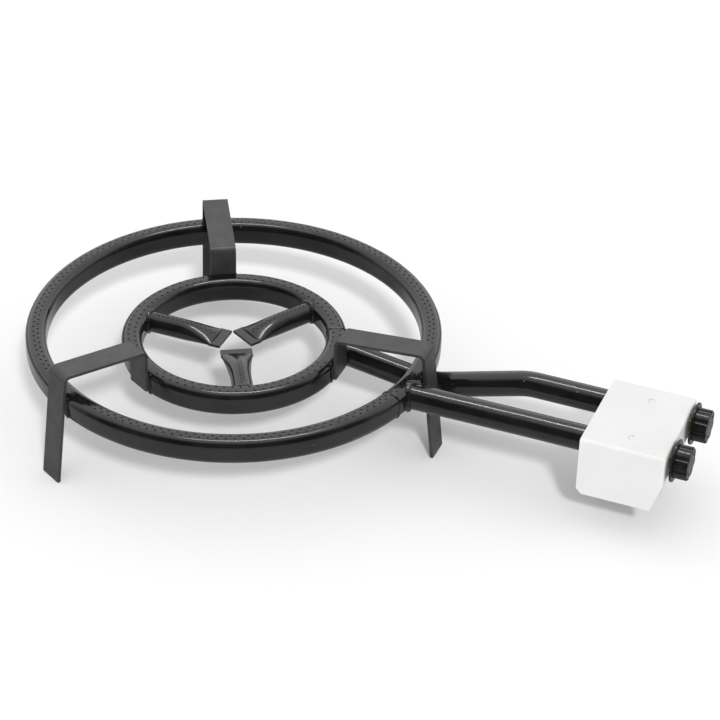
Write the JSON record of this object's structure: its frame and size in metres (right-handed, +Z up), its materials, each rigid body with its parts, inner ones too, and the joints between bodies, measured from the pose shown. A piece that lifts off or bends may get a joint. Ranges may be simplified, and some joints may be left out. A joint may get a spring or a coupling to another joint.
{
  "type": "propane burner stand",
  "caption": "Low ring gas burner on strap legs, with concentric perforated rings, feed tubes and a white valve box with push-and-turn knobs.",
  "frame": {"origin": "on the floor, under the common centre of the two rings", "axes": "+X along the feed tubes to the valve box, +Z up"},
  "size_m": [0.6561, 0.3946, 0.1116],
  "materials": {
    "black_enamel": "glossy black stove enamel",
    "black_strap": "satin black paint",
    "white_paint": "white gloss powder coat",
    "zinc_steel": "zinc plated",
    "spring_steel": "drawn spring wire",
    "brass": "machined brass",
    "black_plastic": "moulded, slightly glossy"
  },
  "bodies": {
    "root": {"outer_ring": "black_enamel", "inner_ring": "black_enamel", "burner_finger_1": "black_enamel", "burner_finger_2": "black_enamel", "burner_finger_3": "black_enamel", "leg_1": "black_strap", "leg_2": "black_strap", "leg_3": "black_strap", "outer_feed_tube": "black_enamel", "inner_feed_tube": "black_enamel", "valve_box_cover": "white_paint", "cover_screws": "white_paint", "gas_manifold": "zinc_steel", "manifold_end_cap": "zinc_steel", "hose_nozzle": "brass", "injector_holder_outer": "zinc_steel", "injector_outer": "brass", "valve_body_outer": "brass", "valve_bonnet_outer": "brass", "valve_spring_outer": "spring_steel", "injector_holder_inner": "zinc_steel", "injector_inner": "brass", "valve_body_inner": "brass", "valve_bonnet_inner": "brass", "valve_spring_inner": "spring_steel"},
    "slider_outer": {"thrust_washer_outer": "zinc_steel"},
    "knob_outer": {"valve_stem_outer": "brass", "knob_outer": "black_plastic"},
    "plug_outer": {"valve_plug_outer": "brass"},
    "slider_inner": {"thrust_washer_inner": "zinc_steel"},
    "knob_inner": {"valve_stem_inner": "brass", "knob_inner": "black_plastic"},
    "plug_inner": {"valve_plug_inner": "brass"}
  },
  "joints": [
    {"name": "knob_push_outer", "type": "slide", "parent": "root", "child": "slider_outer", "axis": [-1, 0, 0], "range_m": [0, 0.0025], "stiffness_N_per_m": 900, "springref_m": -0.002, "deforming": ["valve_spring_outer"]},
    {"name": "knob_turn_outer", "type": "hinge", "parent": "slider_outer", "child": "knob_outer", "pos_m": [0.44, -0.031, 0.079], "axis": [1, 0, 0], "range_deg": [0, 210]},
    {"name": "plug_turn_outer", "type": "hinge", "parent": "root", "child": "plug_outer", "pos_m": [0.44, -0.031, 0.079], "axis": [1, 0, 0], "range_deg": [0, 210]},
    {"name": "knob_push_inner", "type": "slide", "parent": "root", "child": "slider_inner", "axis": [-1, 0, 0], "range_m": [0, 0.0025], "stiffness_N_per_m": 900, "springref_m": -0.002, "deforming": ["valve_spring_inner"]},
    {"name": "knob_turn_inner", "type": "hinge", "parent": "slider_inner", "child": "knob_inner", "pos_m": [0.44, 0.031, 0.079], "axis": [1, 0, 0], "range_deg": [0, 210]},
    {"name": "plug_turn_inner", "type": "hinge", "parent": "root", "child": "plug_inner", "pos_m": [0.44, 0.031, 0.079], "axis": [1, 0, 0], "range_deg": [0, 210]}
  ],
  "couplings": [
    {"joint": "plug_turn_outer", "follows": "knob_turn_outer", "ratio": 1},
    {"joint": "plug_turn_inner", "follows": "knob_turn_inner", "ratio": 1}
  ]
}
